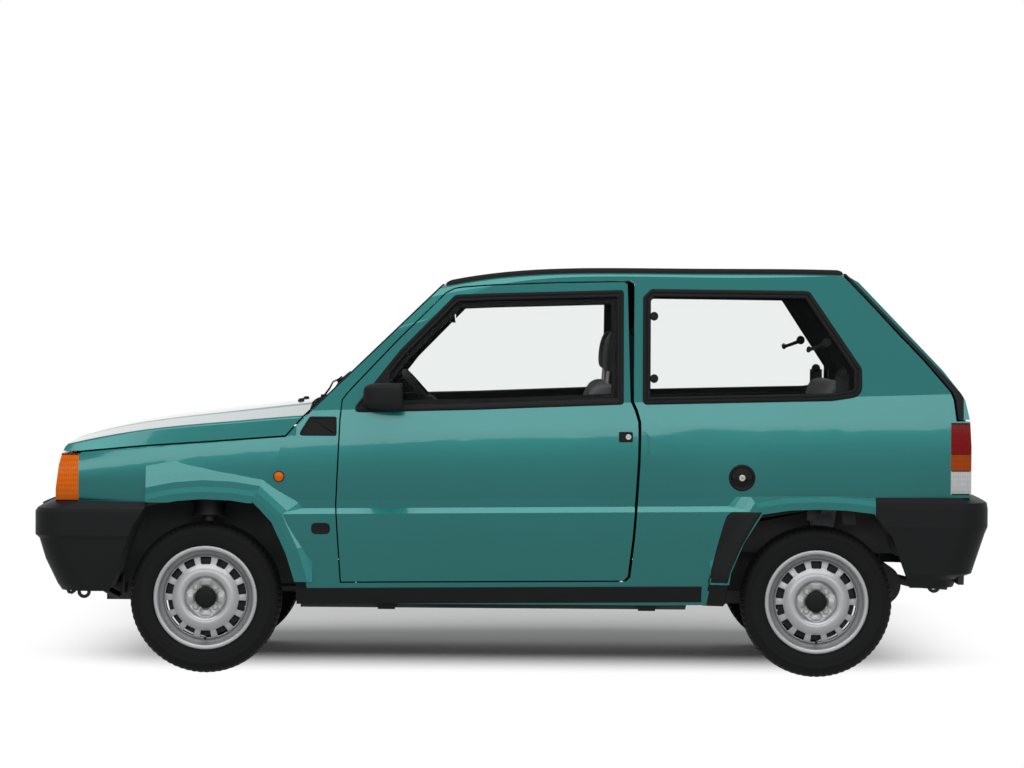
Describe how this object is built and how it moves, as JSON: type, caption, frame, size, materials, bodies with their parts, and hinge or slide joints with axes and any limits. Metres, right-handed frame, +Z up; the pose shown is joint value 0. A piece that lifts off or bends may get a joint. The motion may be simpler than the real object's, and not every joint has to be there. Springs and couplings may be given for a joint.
{
  "type": "city car",
  "caption": "Small boxy three-door hatchback with opening doors, bonnet and tailgate, steering front wheels and free-rolling road wheels.",
  "frame": {"origin": "on the ground, midway along the car's length and width", "axes": "+Z up, -X to the car's front, -Y to its left side"},
  "size_m": [3.4078, 1.742, 1.4444],
  "materials": {
    "paint": "metallic clearcoat",
    "inner_paint": "satin",
    "black_plastic": "fine grain",
    "glass": "clear, slightly tinted",
    "clear_lamp": "ribbed lens",
    "red_lamp": "ribbed lens",
    "amber_lamp": "ribbed lens",
    "tyre": "matt",
    "wheel_paint": "silver",
    "chassis": "satin black",
    "steel": "dull",
    "iron": "rough",
    "fabric": "woven",
    "dash": "grained"
  },
  "bodies": {
    "body": {"arch_trims": "black_plastic", "boot_floor": "inner_paint", "bulkhead": "inner_paint", "dashboard": "dash", "driveshafts": "steel", "engine": "iron", "exhaust": "steel", "floor_pan": "inner_paint", "front_bumper": "black_plastic", "front_indicators": "amber_lamp", "front_panel": "inner_paint", "front_seats": "fabric", "front_subframe": "inner_paint", "front_wings": "paint", "fuel_tank": "chassis", "grille": "black_plastic", "headlamps": "clear_lamp", "left_body_side": "paint", "left_inner_wing": "inner_paint", "lower_arms": "chassis", "quarter_windows": "glass", "rear_axle": "chassis", "rear_bumper": "black_plastic", "rear_panel": "inner_paint", "rear_seat": "fabric", "rear_springs": "chassis", "rear_wheel_boxes": "inner_paint", "right_body_side": "paint", "right_inner_wing": "inner_paint", "roof_panel": "paint", "steering_column": "chassis", "steering_rack": "steel", "tail_lamps": "red_lamp", "windscreen": "glass", "windscreen_wiper": "black_plastic"},
    "bonnet": {"bonnet": "paint"},
    "tailgate": {"tailgate": "paint", "tailgate_glass": "glass", "rear_wiper": "black_plastic"},
    "left_door": {"left_door": "paint", "left_door_glass": "glass", "left_mirror": "black_plastic"},
    "right_door": {"right_door": "paint", "right_door_glass": "glass", "right_mirror": "black_plastic"},
    "left_upright": {"left_upright": "chassis"},
    "right_upright": {"right_upright": "chassis"},
    "wheel_front_left": {"rim_front_left": "wheel_paint", "tyre_front_left": "tyre"},
    "wheel_front_right": {"rim_front_right": "wheel_paint", "tyre_front_right": "tyre"},
    "wheel_rear_left": {"rim_rear_left": "wheel_paint", "tyre_rear_left": "tyre"},
    "wheel_rear_right": {"rim_rear_right": "wheel_paint", "tyre_rear_right": "tyre"},
    "steering_wheel": {"steering_wheel": "black_plastic"}
  },
  "joints": [
    {"name": "left_door_hinge", "type": "hinge", "parent": "body", "child": "left_door", "pos_m": [-0.603, -0.752, 0.86], "axis": [0, 0, -1], "range_deg": [0, 65]},
    {"name": "right_door_hinge", "type": "hinge", "parent": "body", "child": "right_door", "pos_m": [-0.603, 0.752, 0.86], "axis": [0, 0, 1], "range_deg": [0, 65]},
    {"name": "bonnet_hinge", "type": "hinge", "parent": "body", "child": "bonnet", "pos_m": [-0.722, 0, 0.958], "axis": [0, 1, 0], "range_deg": [0, 50]},
    {"name": "tailgate_hinge", "type": "hinge", "parent": "body", "child": "tailgate", "pos_m": [1.178, 0, 1.441], "axis": [0, -1, 0], "range_deg": [0, 80]},
    {"name": "left_steer", "type": "hinge", "parent": "body", "child": "left_upright", "pos_m": [-1.08, -0.585, 0.165], "axis": [0, 0.1748, 0.9846], "range_deg": [-32, 32]},
    {"name": "right_steer", "type": "hinge", "parent": "body", "child": "right_upright", "pos_m": [-1.08, 0.585, 0.165], "axis": [0, -0.1748, 0.9846], "range_deg": [-32, 32]},
    {"name": "steering_wheel_turn", "type": "hinge", "parent": "body", "child": "steering_wheel", "pos_m": [-0.276, -0.36, 0.933], "axis": [0.7604, 0, 0.6494], "range_deg": [-544, 544]},
    {"name": "wheel_front_left_spin", "type": "hinge", "parent": "left_upright", "child": "wheel_front_left", "pos_m": [-1.08, -0.632, 0.268], "axis": [0, -1, 0], "continuous": true},
    {"name": "wheel_front_right_spin", "type": "hinge", "parent": "right_upright", "child": "wheel_front_right", "pos_m": [-1.08, 0.632, 0.268], "axis": [0, -1, 0], "continuous": true},
    {"name": "wheel_rear_left_spin", "type": "hinge", "parent": "body", "child": "wheel_rear_left", "pos_m": [1.08, -0.632, 0.268], "axis": [0, -1, 0], "continuous": true},
    {"name": "wheel_rear_right_spin", "type": "hinge", "parent": "body", "child": "wheel_rear_right", "pos_m": [1.08, 0.632, 0.268], "axis": [0, -1, 0], "continuous": true}
  ],
  "couplings": [
    {"joint": "right_steer", "follows": "left_steer", "ratio": 1},
    {"joint": "steering_wheel_turn", "follows": "left_steer", "ratio": 17}
  ]
}
